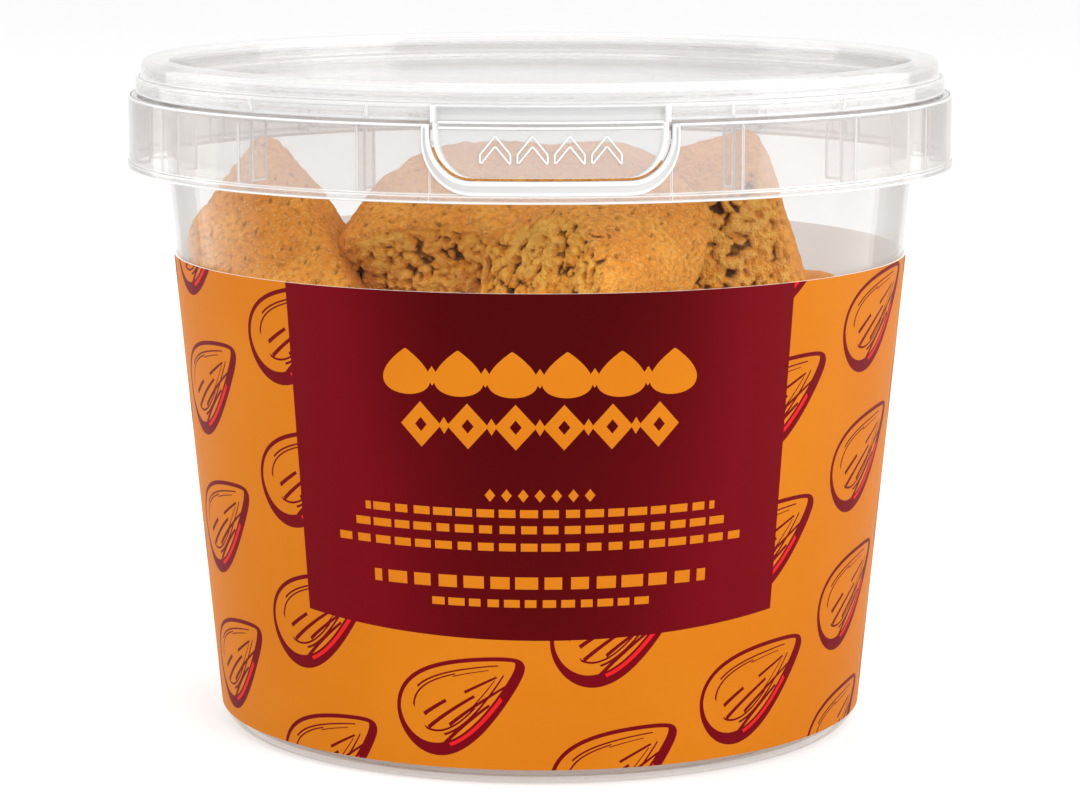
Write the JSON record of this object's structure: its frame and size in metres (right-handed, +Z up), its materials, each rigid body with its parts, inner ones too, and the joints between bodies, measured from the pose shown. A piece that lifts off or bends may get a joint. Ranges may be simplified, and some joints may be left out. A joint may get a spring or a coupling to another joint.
{
  "type": "tub of biscotti",
  "caption": "Round clear plastic tub with a press-on lid, a pull tab in its rim skirt and a wrap-round printed label, full of chunky almond biscotti.",
  "frame": {"origin": "middle of the ring that the tub stands on, at floor level", "axes": "+Z up along the tub's axis; the pull tab and the label's dark panel face -Y, and +X is to the right seen from there"},
  "size_m": [0.1332, 0.1332, 0.108],
  "materials": {
    "clear_tub": "clear, glossy, moulded",
    "clear_lid": "clear, glossy, moulded",
    "printed_label": "satin, orange print with a maroon panel",
    "baked_biscotti": "matt, baked golden crust and a browner open crumb"
  },
  "bodies": {
    "root": {"tub": "clear_tub", "lid": "clear_lid", "label": "printed_label", "biscotti": "baked_biscotti"}
  },
  "joints": []
}
